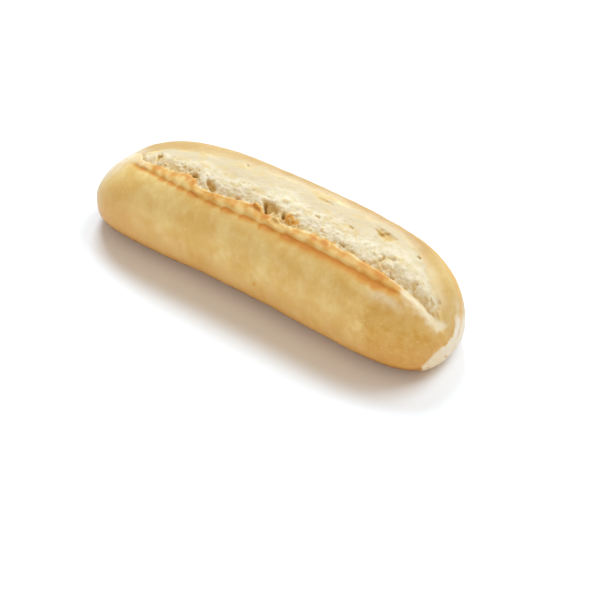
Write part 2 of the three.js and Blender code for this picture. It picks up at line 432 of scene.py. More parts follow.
@dataclass
class Slash:
    """The slash's lines, and the ear of crust that it lifted.

    Lines over stations give angles, and lines over x give strengths, or lengths in millimetres.
    """

    loaf: Loaf
    crease_line: Line = Line(
        (
            (-1, 104), (-0.8, 109), (-0.71, 114.2), (-0.58, 120.6), (-0.42, 125.8), (-0.2, 129),
            (0, 128), (0.22, 126.8), (0.57, 125.6), (0.7, 124), (0.8, 120.5), (1, 118),
        )
    )
    ear_line: Line = Line(
        (
            (-1, 92), (-0.79, 93.5), (-0.76, 98), (-0.72, 106), (-0.67, 109), (-0.62, 109.5),
            (-0.55, 112), (-0.5, 112.6), (-0.44, 111.8), (-0.38, 114), (-0.34, 118.3),
            (-0.25, 120.2), (-0.19, 119), (-0.12, 117), (-0.03, 115.6), (0.03, 117), (0.12, 118.8),
            (0.19, 118.6), (0.27, 116.2), (0.33, 115.2), (0.5, 115.0), (0.7, 114.6), (0.8, 112.4),
            (0.88, 109.8), (1, 110),
        )
    )
    far_line: Line = Line(
        (
            (-1, 98), (-0.79, 96), (-0.75, 91), (-0.69, 87), (-0.6, 83), (-0.5, 80.5), (-0.25, 76),
            (0.05, 69.5), (0.2, 67.5), (0.4, 70), (0.64, 68), (0.76, 76), (0.86, 85.5),
            (0.94, 91), (1, 105),
        )
    )
    opening: tuple[float, ...] = (-0.82, -0.7, 0.915, 0.97)  # stations where it opens and shuts
    ear_ends: tuple[float, float] = (0.74, 0.87)  # where the ear sinks back into the nose
    crease_strays: Wander = Wander(3.5, (5.0, 2.0), (0.4, 0.25))
    tear: Wander = Wander(7.5, (4.2, 1.5), (1.3, 0.8))
    far_tear: Wander = Wander(12.5, (6.0, 2.0), (0.8, 0.35))
    far_nick: tuple[float, float, float] = (-18.6, 1.6, 3.2)  # x, half its length and degrees
    # Where the ear's pleats meet the crease, along x.
    notches: tuple[float, ...] = (
        -70, -64.5, -60, -52.6, -47, -41.6, -36.4, -30.8, -20.6, -12.4, -3.2, 6.6, 17.2, 27, 34.5,
        42, 48.5, 53.6, 60.2, 66.5,
    )
    notch_end: tuple[float, float] = (0.05, 0.75)  # shares of a pleat past the notch where it fades
    notch_start: float = 0.7  # the share from which the next one shows
    notch_strays: Wander = Wander(17.5, (11.0, 4.0), (0.5, 0.25))
    notch_strength: Line = Line(
        (
            (-70, 0.5), (-50, 0.75), (-25, 0.9), (-12, 1), (14, 1), (24, 0.6), (46, 0.3), (55, 0.5),
            (64, 0.45), (72, 0.3),
        )
    )
    seam: Line = Line(
        (
            (-74, 0.6), (-62, 0.7), (-30, 0.4), (0, 0.3), (12, 0.3), (24, 0.8), (46, 0.8), (56, 1),
            (66, 0.8), (73, 0.2),
        )
    )
    seam_width: Line = Line(
        ((-74, 1.2), (-30, 1.1), (10, 1.2), (24, 1.6), (48, 1.5), (56, 2.1), (68, 1.8), (74, 1.2))
    )
    # The relief over the plain loaf: heights, depths and widths in millimetres.
    ear_rise: float = 0.28
    ear_overhang: float = 0.2
    ear_crest: float = 0.5  # share of the ear's width where it is highest
    ear_ease: tuple[float, float, float] = (0.5, 1.0, 0.65)  # shares of the width, and the drop
    pleat_depth: float = 0.12
    pleat_skew: float = 0.45  # pleats by which the upper edge lags behind the crease
    crease_depth: float = 0.24
    notch_depth: float = 0.85  # share of the crease's depth that a notch adds
    scallop: float = 1.5  # degrees by which the crease sinks from one notch to the next
    jump: float = 0.86  # the share of a pleat after which the crease jumps back up
    turned_edge: float = 1.6
    trough: Line = Line(
        (
            (-74, 0.3), (-66, 0.35), (-58, 0.7), (-30, 0.9), (0, 0.9), (20, 0.6), (50, 0.6), (62, 1.0),
            (72, 1.5),
        )
    )
    trough_width: float = 3.2
    cliff: float = 0.9  # the run of the torn wall below the ear
    crumb_rise: float = 0.9
    far_step: float = 0.12
    far_step_share: float = 0.12
    far_rim: float = 0.08
    far_rim_width: float = 1.6
    degree: float = 0.45  # millimetres round the crown
    swell: float = 0.3
    swell_size: float = 24.0
    # How the rims of the hollows are warped, along x and y.
    warps: tuple[Rough, Rough] = (Rough(1.0, 2.6, 2, shift=5.0), Rough(1.0, 2.6, 2, shift=9.0))
    grain: Grain = field(default_factory=lambda: Grain(seed=11))
    hollows: tuple[Hollow, ...] = (
        Hollow(-64.5, -8.6, 5.6, 1.4, -46, 0.7),
        Hollow(-56.3, -6.7, 4.8, 2.8, -60, 1.9),
        Hollow(-34.6, -10.0, 3.8, 2.4, -10, 2.0),
        Hollow(-38.3, -8.1, 2.4, 1.4, -50, 1.1),
        Hollow(-24.4, -11.9, 7.8, 3.2, -27, 1.9),
        Hollow(-10.4, -12.0, 4.4, 2.0, 0, 0.9),
        Hollow(4.6, -9.6, 11, 5.2, -4, 1.6),
        Hollow(2.3, -10.1, 5.8, 1.8, -43, 1.1),
        Hollow(4.1, -11.8, 2.6, 2.2, -30, 1.5),
        Hollow(-0.4, -11.6, 6.6, 2.4, -26, -1.3),
        Hollow(11.3, -10.9, 2.4, 2.6, -30, 2.4),
        Hollow(10.0, -12.9, 5.6, 2.8, -10, -1.1),
        Hollow(15.4, -11.2, 7.6, 4.2, -28, -1.0),
        Hollow(14.9, -11.2, 4.4, 1.0, -78, 0.6),
        Hollow(17.3, -11.6, 3.4, 0.9, -66, 0.5),
        Hollow(49.8, 3.2, 12.5, 6.2, -15, 1.3),
        Hollow(48.0, 3.4, 4.4, 2.6, -15, 0.6),
        Hollow(20.5, 4.9, 9.5, 3.4, -10, 0.75),
        Hollow(65.6, 3.4, 2.2, 1.8, 0, 1.0),
        Hollow(-20.0, 6.6, 3.4, 1.6, -10, 0.8),
        Hollow(37.9, -3.0, 2.4, 1.6, 0, 0.8),
        Hollow(23.8, -5.3, 2.0, 1.4, -20, 0.8),
        Hollow(40.0, -11.0, 3.4, 1.8, -20, 0.9),
        Hollow(45.8, -11.4, 3.4, 1.6, 10, 0.9),
        Hollow(59.3, -8.3, 7.4, 6.4, 0, 0.7),
        Hollow(56.0, -8.0, 2.4, 3.4, 0, 1.1),
        Hollow(60.0, -8.8, 4.0, 3.6, 0, -0.5),
        Hollow(62.9, -11.4, 2.8, 2.2, -30, 0.8),
        Hollow(71.7, -8.6, 3.0, 2.4, 0, 0.8),
        Hollow(70, -11, 12, 4.6, 8, 0.2),
        Hollow(78, -8.9, 12, 5.2, 14, 0.2),
        Hollow(76.0, -9.5, 2.2, 1.8, 30, 0.55),
        Hollow(79.5, -10.6, 2.2, 1.7, 0, 0.75),
        Hollow(79.0, -7.4, 2.2, 1.7, 40, 0.7),
        Hollow(82.2, -8.5, 2.0, 1.6, 0, 0.8),
        Hollow(81.4, -6.5, 1.8, 1.3, 0, 0.7),
        Hollow(80.4, -4.8, 2.4, 1.5, 60, 0.7),
    )

    def x_at(self, station: Array) -> Array:
        """Millimetres along the loaf at each station."""
        return station * self.loaf.length / 2

    def degree_at(self, station: Array) -> Array:
        """Millimetres to a degree round the crown at each station."""
        return self.degree * self.loaf.section(station).half_width * 2 / self.loaf.width

    def turns(self, x: Array) -> Array:
        """Pleats passed by each x: a whole number at each notch.

        Args:
            x: Millimetres along the loaf.

        Returns:
            The pleats, with the share of the last one.
        """
        marks = np.array(self.notches)
        count = np.interp(x, marks, np.arange(len(marks)))
        pitch = np.diff(marks).mean()
        return count + np.minimum(x - marks[0], 0) / pitch + np.maximum(x - marks[-1], 0) / pitch

    def notch(self, x: Array) -> Array:
        """How strongly a notch shows at each x: sharp on its tail side, drawn out to the nose.

        Args:
            x: Millimetres along the loaf.

        Returns:
            From 0 for no notch to 1 for a deep one.
        """
        past = self.turns(x) % 1.0
        drawn = np.maximum(1 - smoothstep(past, *self.notch_end), smoothstep(past, self.notch_start, 1))
        uneven = 1 + self.notch_strays.at(self.grain, x)
        return np.clip(self.notch_strength.at(x) * drawn * uneven, 0, 1)

    def crease(self, station: Array) -> Array:
        """The crease's angle, which sinks from each notch and jumps up to the next.

        Args:
            station: From -1 at the tail to 1 at the nose.

        Returns:
            Degrees round the section.
        """
        x = self.x_at(station)
        past = self.turns(x) % 1.0
        tooth = np.minimum(past, self.jump) - smoothstep(past, self.jump, 1) * self.jump - self.jump / 2
        sag = self.scallop * tooth * self.notch_strength.at(x)
        return self.crease_line.at(station) + sag + self.crease_strays.at(self.grain, x)

    def ear_edge(self, station: Array) -> Array:
        """The angle of the ear's torn edge."""
        x = self.x_at(station)
        return self.ear_line.at(station) + self.tear.at(self.grain, x) * self.ear(station)

    def far_edge(self, station: Array) -> Array:
        """The angle of the far crust's edge.

        Args:
            station: From -1 at the tail to 1 at the nose.

        Returns:
            Degrees round the section.
        """
        x = self.x_at(station)
        place, reach, degrees = self.far_nick
        nick = degrees * bump(x - place, reach)
        return self.far_line.at(station) + self.far_tear.at(self.grain, x) + nick

    def open(self, station: Array) -> Array:
        """How far the slash stands open, from 0 to 1.

        Args:
            station: From -1 at the tail to 1 at the nose.

        Returns:
            From 0 where it is shut to 1 where it is open.
        """
        tail_shut, tail_open, nose_open, nose_shut = self.opening
        shut = 1 - smoothstep(station, nose_open, nose_shut)
        return smoothstep(station, tail_shut, tail_open) * shut

    def ear(self, station: Array) -> Array:
        """How much of the slash's edge is a lifted ear, and not crust that rounds over."""
        return 1 - smoothstep(station, *self.ear_ends)

    def relief(self, station: Array, angle: Array) -> tuple[Array, Array]:
        """Works out the main relief over the plain loaf.

        Args:
            station: From -1 to 1.
            angle: Degrees round the section.

        Returns:
            How far the skin stands out, and how far it leans to the front.
        """
        crease = self.crease(station)
        ear_edge = self.ear_edge(station)
        far_edge = self.far_edge(station)
        opened = self.open(station)
        ear = opened * self.ear(station)
        degree = self.degree_at(station)
        x = self.x_at(station) + 0 * angle
        points = np.stack([x / self.swell_size, angle / self.swell_size, 0 * x], axis=-1)
        swell = self.swell * self.grain.at(points.reshape(-1, 3), 1.0).reshape(x.shape)

        share = np.clip((crease - angle) / (crease - ear_edge), 0, 1)
        strength = self.notch_strength.at(x)
        turn = self.turns(x) + self.pleat_skew * share
        pleat = -self.pleat_depth * strength * np.cos(2 * np.pi * turn)
        ease_from, ease_to, ease_by = self.ear_ease
        eased = 1 - ease_by * smoothstep(share, ease_from, ease_to)
        bead = smoothstep(share, 0, self.ear_crest) * eased
        groove = bump((crease - angle) * degree, self.seam_width.at(x))
        turned = bump((angle - ear_edge) * degree, self.turned_edge)
        deeper = self.crease_depth * (self.seam.at(x) + self.notch_depth * self.notch(x))
        lifted = self.ear_rise * bead + pleat * bead - deeper * groove
        rim = self.far_rim * bump((far_edge - angle) * degree, self.far_rim_width)
        trough = self.trough.at(x)
        crust = ear * lifted - (opened - ear) * trough * turned
        crust = np.where(angle < (ear_edge + far_edge) / 2, opened * rim, crust)

        width = np.maximum(ear_edge - far_edge, 1.0)
        across = np.clip((ear_edge - angle) / width, 0, 1)
        below = (ear_edge - angle) * degree
        crumb = (
            self.crumb_rise * np.sin(np.pi * across) ** 2
            - trough * bump(below, self.trough_width)
            - self.far_step * smoothstep(1 - across, 0, self.far_step_share)
            + self.far_rim * (1 - smoothstep(1 - across, 0, self.far_step_share))
        )
        edge = self.ear_rise * (1 - ease_by) + pleat * (1 - ease_by)
        edge = ear * edge - (opened - ear) * trough
        fallen = smoothstep(below, 0, self.cliff)
        crumb = lerp(edge, opened * crumb, fallen)
        torn = (angle < ear_edge) & (angle > far_edge)
        lean = ear * bead * (self.ear_overhang + pleat)
        return swell + np.where(torn, crumb, crust), np.where(torn, lean * (1 - fallen), lean)

    def hollow_at(self, x: Array, y: Array) -> Array:
        """The depth of the hollows together at places seen from above.

        Args:
            x: Millimetres along the loaf.
            y: Millimetres towards the back.

        Returns:
            The depth there, less where a flake stands up.
        """
        points = np.stack([x, y, 0 * x], axis=-1).reshape(-1, 3)
        aside, along = (warp.at(self.grain, points).reshape(x.shape) for warp in self.warps)
        return sum(hollow.at(x + aside, y + along) for hollow in self.hollows)

    def surface(self, station: Array, angle: Array) -> Array:
        """Points of the loaf with its slash, before the fine relief.

        Args:
            station: From -1 at the tail to 1 at the nose.
            angle: Degrees round the section.

        Returns:
            The points, with x, y and z along the last axis.
        """
        height, lean = self.relief(station, angle)
        points = self.loaf.skin(station, angle, height, lean)
        torn = (angle < self.ear_edge(station)) & (angle > self.far_edge(station))
        hollow = self.open(station) * self.hollow_at(points[..., 0], points[..., 1])
        points[..., 2] -= np.where(torn, hollow, 0)
        return points


# ------------------------------------------------------------------------------- the skin's net


@dataclass
class Net:
    """The loaf's skin as rings of points, each spread evenly between the lines of the slash."""

    slash: Slash
    stations: int = 496
    evenness: float = 6.0  # higher spaces the stations more evenly
    heel_steps: int = 10  # from the heel's middle to the foot of the front flank
    flank_steps: int = 42  # up to the crease
    ear_steps: int = 20  # up to the torn edge
    crumb_steps: int = 72  # over to the far crust
    back_steps: int = 34  # down the back to the foot
    start: float = 270.0  # the angle of the heel's middle
    foot: float = 236.0  # the angle of the front flank's foot
    back_foot: float = -56.0
    end: float = -90.0  # the heel's middle again, once round
    least_band: float = 32.0  # degrees for the crumb's steps where the slash is shut
    least_ring: int = 8
    ring_edge: float = 0.5  # millimetres of width and height that earn a ring one more point
    fine: int = 60  # samples of each span, from which its steps are spread
    least_run: float = 1e-6  # millimetres, so that no two samples lie at one length
    # Each span's steps: 1 spaces them evenly, 1.8 draws them to its start and -1.8 to its end.
    crowding: tuple[float, ...] = (1.0, -1.8, 1.0, 1.0, 1.8, 1.0)
    station: Array = field(init=False)
    angle: Array = field(init=False)
    counts: Array = field(init=False)

    @property
    def full_ring(self) -> int:
        """The points of a full ring."""
        return sum(self.spans)

    def ring_stations(self) -> Array:
        """Stations from tail to nose, closer together where the ends turn in.

        Returns:
            The stations of the rings, without the two tips.
        """
        share = 2 * np.arange(1, self.stations + 1) / (self.stations + 1) - 1
        even = 1 / self.evenness
        return share * (1 + even - even * np.abs(share) ** self.evenness)

    @property
    def spans(self) -> tuple[int, ...]:
        """The steps of each span, from the heel's middle round the front and down the back."""
        around = (self.flank_steps, self.ear_steps, self.crumb_steps, self.back_steps)
        return (self.heel_steps, *around, self.heel_steps)

    def marks(self, station: Array) -> Array:
        """Spreads the points of full rings by length within each span.

        Args:
            station: The rings' stations.

        Returns:
            The angles of each ring's points, from the heel's middle round the front and back to it.
        """
        level = np.ones_like(station)
        crease = self.slash.crease(station)
        ear_edge = self.slash.ear_edge(station)
        far_edge = np.minimum(self.slash.far_edge(station), ear_edge - self.least_band)
        ends = [self.start * level, self.foot * level, crease, ear_edge, far_edge]
        ends += [self.back_foot * level, self.end * level]
        share = np.linspace(0, 1, self.fine + 1)
        columns = [self.start * level[:, None]]
        for steps, crowd, start, end in zip(self.spans, self.crowding, ends, ends[1:]):
            samples = start[:, None] + (end - start)[:, None] * share
            points = self.slash.surface(np.repeat(station, len(share)), samples.ravel())
            runs = np.linalg.norm(np.diff(points.reshape(*samples.shape, 3), axis=1), axis=2)
            along = np.cumsum(np.pad(runs + self.least_run, ((0, 0), (1, 0))), axis=1)
            shares = np.arange(1, steps + 1) / steps
            shares = shares**crowd if crowd > 0 else 1 - (1 - shares) ** -crowd
            wanted = along[:, -1:] * shares
            columns.append(np.array([np.interp(*row) for row in zip(wanted, along, samples)]))
        return np.concatenate(columns, axis=1)

    def ring_counts(self, station: Array) -> Array:
        """How many points each ring has: fewer where the ends close.

        Args:
            station: The rings' stations.

        Returns:
            Each ring's count.
        """
        section = self.slash.loaf.section(station)
        girth = 2 * section.half_width + section.top - section.bottom
        return np.clip(np.rint(girth / self.ring_edge), self.least_ring, self.full_ring).astype(int)

    def spread(self) -> Array:
        """Lays out every ring and the two tips.

        Returns:
            The net's points before the fine relief.
        """
        stations = self.ring_stations()
        whole = np.arange(self.full_ring + 1)
        rings = [(-1.0, np.zeros(1))]
        for place, count, marks in zip(stations, self.ring_counts(stations), self.marks(stations)):
            steps = np.arange(count) * self.full_ring / count
            rings.append((place, np.interp(steps, whole, marks)))
        rings.append((1.0, np.zeros(1)))
        self.counts = np.array([len(angles) for _, angles in rings])
        self.station = np.concatenate([np.full(len(angles), s) for s, angles in rings])
        self.angle = np.concatenate([angles for _, angles in rings])
        return self.slash.surface(self.station, self.angle)

    def faces(self) -> list[tuple[int, ...]]:
        """Joins each ring to the next: quads where they match, triangles where they don't.

        Returns:
            Each face's points, in an order that makes it face out.
        """
        starts = np.concatenate([[0], np.cumsum(self.counts)])
        faces: list[tuple[int, ...]] = []
        for ring in range(len(self.counts) - 1):
            back, front = int(starts[ring]), int(starts[ring + 1])
            behind, ahead = int(self.counts[ring]), int(self.counts[ring + 1])
            if behind == ahead:
                for step in range(behind):
                    after = (step + 1) % behind
                    faces.append((back + step, back + after, front + after, front + step))
            else:
                faces.extend(self.stitch(back, behind, front, ahead))
        return faces

    @staticmethod
    def stitch(back: int, behind: int, front: int, ahead: int) -> list[tuple[int, ...]]:
        """Joins two rings of different counts.

        Args:
            back: The first point of the ring nearer the tail.
            behind: Its count.
            front: The first point of the ring nearer the nose.
            ahead: Its count.

        Returns:
            Triangles that face out.
        """
        triangles = []
        i = j = 0
        while i < behind or j < ahead:
            here, there = back + i % behind, front + j % ahead
            if (i + 1) / behind <= (j + 1) / ahead:
                i += 1
                if behind > 1:
                    triangles.append((here, back + i % behind, there))
            else:
                j += 1
                if ahead > 1:
                    triangles.append((here, front + j % ahead, there))
        return triangles


def outward(points: Array, faces: list[tuple[int, ...]]) -> Array:
    """Works out which way the surface faces at each point.

    Args:
        points: The mesh's points.
        faces: Its triangles and quads.

    Returns:
        A unit vector for each point.
    """
    total = np.zeros_like(points)
    for sides in (3, 4):
        group = np.array([face for face in faces if len(face) == sides])
        if not len(group):
            continue
        first, second, third, last = (points[group[:, k]] for k in (0, 1, 2, sides - 1))
        facing = np.cross(third - first, last - second if sides == 4 else third - second)
        for corner in group.T:
            np.add.at(total, corner, facing)
    return total / np.maximum(np.linalg.norm(total, axis=1, keepdims=True), TINY)


# ----------------------------------------------------------------------------- the fine relief


@dataclass
class Site:
    """What the fine relief is told about each point of the net."""

    points: Array
    station: Array
    angle: Array
    slash: Slash
    crease: Array = field(init=False)  # millimetres from the crease, positive towards the crown
    edge: Array = field(init=False)  # millimetres from the torn edge, positive into the crumb
    far: Array = field(init=False)  # millimetres from the far crust, positive into the crumb
    across: Array = field(init=False)  # share of the way from the torn edge to the far crust
    opened: Array = field(init=False)
    ear: Array = field(init=False)
    fray: Rough = Rough(1.6, 6.0, 4, fade=0.6)  # of the far crust's edge
    near_edge: Rise = Rise(0.1, 0.8)  # over which crust gives way to crumb at the torn edge
    far_edge: Rise = Rise(-0.8, 3.0)
    middle: float = 0.5  # of the way across
    heel_reach: float = 0.02  # millimetres above the table that still count as the heel

    def __post_init__(self) -> None:
        """Works out the distances to the lines of the slash."""
        slash = self.slash
        degree = slash.degree_at(self.station)
        ear_edge = slash.ear_edge(self.station)
        far_edge = slash.far_edge(self.station)
        self.crease = (slash.crease(self.station) - self.angle) * degree
        self.edge = (ear_edge - self.angle) * degree
        self.far = (self.angle - far_edge) * degree
        self.across = np.clip((ear_edge - self.angle) / np.maximum(ear_edge - far_edge, 1), 0, 1)
        self.opened = slash.open(self.station)
        self.ear = self.opened * slash.ear(self.station)

    @property
    def x(self) -> Array:
        """Millimetres along the loaf."""
        return self.points[:, 0]

    @property
    def y(self) -> Array:
        """Millimetres towards the back."""
        return self.points[:, 1]

    @property
    def z(self) -> Array:
        """Millimetres above the heel."""
        return self.points[:, 2]

    @property
    def on_heel(self) -> Array:
        """Whether each point lies on the flat heel."""
        return self.z < self.heel_reach

    @property
    def on_far_side(self) -> Array:
        """Whether each point lies beyond the middle of the crumb."""
        return self.across > self.middle

    @property
    def torn(self) -> Array:
        """How much each point belongs to the torn crumb, from 0 to 1."""
        ragged = self.fray.at(self.slash.grain, self.points)
        return self.opened * self.near_edge.at(self.edge) * self.far_edge.at(self.far + ragged)


@dataclass
class CrumbRelief:
    """The torn crumb: craggy and full of pores by the ear, and smoother towards the far crust."""

    lumps: Rough = Rough(0.4, 5.5, 2, shift=30)
    calm_lumps: float = 0.35  # the share of the lumps that is left where the crumb is smooth
    folds: Rough = Rough(2.0, 2.6, 2, shift=50)
    crag_height: float = 0.125
    strands: Rough = Rough(0.08, (3.0, 1.1, 1.1), shift=20)
    grit: Rough = Rough(0.12, 1.0, 2, shift=80)
    pore_depth: float = 0.5
    bubble_depth: float = 0.5
    bubble_shift: float = 9.0
    calm: Rise = Rise(0.12, 0.8)  # the share of the way across where it grows smooth
    calm_strays: Rough = Rough(0.125, 14.0)
    nose_crags: Rise = Rise(48, 72, 1, 0.55)  # how calm it stays along x
    least_rough: float = 0.2
    crag_tone: float = 0.45  # how much of its dots of painted pore shade the crumb shows where it is craggy
    # How much of a cavity the wall below the ear counts as, plain and for its crags, so that shade is
    # painted on it.
    wall: tuple[float, float] = (0.128, 0.512)
    wall_place: tuple[float, float] = (0.8, 2.2)  # its middle beyond the torn edge, and its width
    full_pit: float = 0.8  # the depth that counts as a whole cavity
    full_hollow: float = 1.8
    darkest: float = 1.5  # cavities that the deepest hollow counts as
    grain: Grain = field(default_factory=lambda: Grain(seed=23))
    pores: Pits = field(default_factory=lambda: Pits(seed=31, spacing=1.7, share=0.4, radii=(0.4, 0.8)))
    bubbles: Pits = field(
        default_factory=lambda: Pits(seed=37, spacing=4.2, share=0.5, radii=(0.8, 1.7), floor=0.25)
    )

    def rough(self, site: Site) -> Array:
        """How craggy the crumb is at each point, from least_rough to 1."""
        calm = self.calm.at(site.across + self.calm_strays.at(self.grain, site.points))
        return lerp(1.0, self.least_rough, calm * self.nose_crags.at(site.x))

    def at(self, site: Site) -> tuple[Array, Array]:
        """Works out the crumb's fine relief.

        Args:
            site: The points.

        Returns:
            The height to add, and how much of a cavity each point is, which the finish paints as shade.
        """
        rough = self.rough(site)
        points = site.points
        crags = 1 - np.abs(self.folds.at(self.grain, points))
        pits = self.pore_depth * self.pores.at(points)
        pits = pits + self.bubble_depth * self.bubbles.at(points + self.bubble_shift)
        fine = (
            self.crag_height * crags
            + self.strands.at(self.grain, points)
            + self.grit.at(self.grain, points)
            - pits
        )
        lumps = lerp(self.calm_lumps, 1, rough) * self.lumps.at(self.grain, points)
        middle, width = self.wall_place
        plain, craggy = self.wall
        wall = (plain + craggy * crags) * bump(site.edge - middle, width)
        sunk = np.maximum(self.slash_hollows(site), wall)
        deep = np.clip(rough * (pits - self.crag_height * crags) / self.full_pit, 0, 1)
        return site.torn * (rough * fine + lumps), site.torn * np.maximum(deep, sunk)

    def slash_hollows(self, site: Site) -> Array:
        """How deep the slash's own hollows are, as shares of a deep one."""
        return np.clip(site.slash.hollow_at(site.x, site.y) / self.full_hollow, 0, self.darkest)


@dataclass
class NosePatch:
    """The pale patch on the nose, where the loaf touched its neighbour in the oven."""

    top: Line = Line(
        (
            (-19.5, 0), (-18.5, 6.3), (-17, 10.6), (-15.5, 12.2), (-12, 12.9), (-6, 13.5), (-3.4, 15),
            (-2, 17), (-1, 18.5), (3, 18), (8, 14), (13, 6), (16, 0),
        )
    )  # its highest z at each y
    start: Rise = Rise(79.5, 83.5)  # the x from which it shows
    ragged: Rough = Rough(1.1, 3.0, 3)
    edge: Rise = Rise(-3, 4, 0.8, 5.0)  # how soft its edge is, by y
    grain: Grain = field(default_factory=lambda: Grain(seed=59))

    def at(self, site: Site) -> Array:
        """How much each point lies in the patch, from 0 to 1."""
        below = self.top.at(site.y) - site.z + self.ragged.at(self.grain, site.points)
        return smoothstep(below / self.edge.at(site.y), -0.5, 0.5) * self.start.at(site.x)


@dataclass
class Facet:
    """The pale fold of crust at the slash's end, with a corner towards the crown."""

    corners: tuple[tuple[float, float], ...] = ((-12.6, 26.4), (-11.5, 20.4), (-4.7, 19.7))  # y and z
    start: float = 79.0  # the x beyond which it lies
    soft: float = 1.0
    ragged: Rough = Rough(0.7, 2.4, 3)
    grain: Grain = field(default_factory=lambda: Grain(seed=61))

    def at(self, site: Site) -> Array:
        """How much each point lies in the fold, from 0 to 1.

        Args:
            site: The points.

        Returns:
            From 0 outside the facet to 1 on it.
        """
        inside = np.full(len(site.points), np.inf)
        for (y, z), (next_y, next_z) in zip(self.corners, self.corners[1:] + self.corners[:1]):
            along, up = next_y - y, next_z - z
            within = (along * (site.z - z) - up * (site.y - y)) / math.hypot(along, up)
            inside = np.minimum(inside, within)
        inside = inside + self.ragged.at(self.grain, site.points)
        return smoothstep(inside, -self.soft, self.soft) * (site.x > self.start)


@dataclass
class LooseCrumbs:
    """Small browned crumbs that stuck to the nose."""

    places: tuple[tuple[float, float, float, float], ...] = (
        (86.6, 3.1, 7.9, 0.8), (86.2, 3.6, 12.6, 0.55), (87.2, -8.9, 7.1, 0.8), (84.6, -15.6, 5.2, 0.6),
    )  # x, y, z and radius
    rise: float = 0.7  # of the radius
    top: float = 0.2  # of the radius, that is level

    def at(self, site: Site) -> Array:
        """How far the crumbs stand out at each point.

        Args:
            site: The points.

        Returns:
            Millimetres, 0 where there is no crumb.
        """
        height = np.zeros(len(site.points))
        for *place, radius in self.places:
            away = np.linalg.norm(site.points - np.array(place), axis=1) / radius
            height = np.maximum(height, self.rise * radius * (1 - smoothstep(away, self.top, 1)))
        return height


@dataclass
class CrustRelief:
    """The baked crust: slow dimples, faint wrinkles under the ear, and small blisters."""

    dimples: Rough = Rough(0.1, 7.0, 2)
    peel: Rough = Rough(0.035, 1.9, 2, shift=60)
    wrinkles: Rough = Rough(0.06, (2.0, 9.0, 14.0), shift=15)
    wrinkle_start: Rise = Rise(0, 1.5)  # millimetres below the crease
    wrinkle_end: Rise = Rise(6, 16, 1, 0)
    blister_height: float = 0.12
    heel_dents: float = 0.35
    # Seen from the front, so that their y stands for the height.
    front_dents: tuple[Hollow, ...] = (
        Hollow(33.5, 22.9, 8, 7, 20, 0.45), Hollow(9.4, 15.4, 1.8, 1.6, 0, 0.3),
    )
    patch_depth: float = 0.2
    scuffs: Rough = Rough(0.9, 2.4, 3, shift=33)
    fold_height: float = 0.25
    patch: NosePatch = field(default_factory=NosePatch)
    crumbs: LooseCrumbs = field(default_factory=LooseCrumbs)
    facet: Facet = field(default_factory=Facet)
    grain: Grain = field(default_factory=lambda: Grain(seed=41))
    blisters: Pits = field(default_factory=lambda: Pits(seed=43, spacing=4.0, share=0.35, radii=(0.5, 1.1)))
    dents: Pits = field(default_factory=lambda: Pits(seed=47, spacing=6.0, share=0.5, radii=(0.8, 2.2)))

    def at(self, site: Site) -> Array:
        """Works out the crust's fine relief.

        Args:
            site: The points.

        Returns:
            The height to add.
        """
        points = site.points
        under_ear = self.wrinkle_start.at(-site.crease) * self.wrinkle_end.at(-site.crease) * site.ear
        front = site.y < 0
        height = (
            self.dimples.at(self.grain, points)
            + self.peel.at(self.grain, points)
            + under_ear * self.wrinkles.at(self.grain, points)
            + self.blister_height * self.blisters.at(points)
            - np.where(front, sum(dent.at(site.x, site.z) for dent in self.front_dents), 0)
            - self.patch_depth * self.patch.at(site) * (1 + self.scuffs.at(self.grain, points))
            + self.fold_height * self.facet.at(site)
            + self.crumbs.at(site)
        )
        return height * (1 - site.torn)

    def heel(self, site: Site) -> Array:
        """Dents pressed up into the flat heel, which leave the rest of it on z = 0."""
        return site.on_heel * self.heel_dents * self.dents.at(site.points * (1, 1, 0))


# ------------------------------------------------------------------------------- what it carries


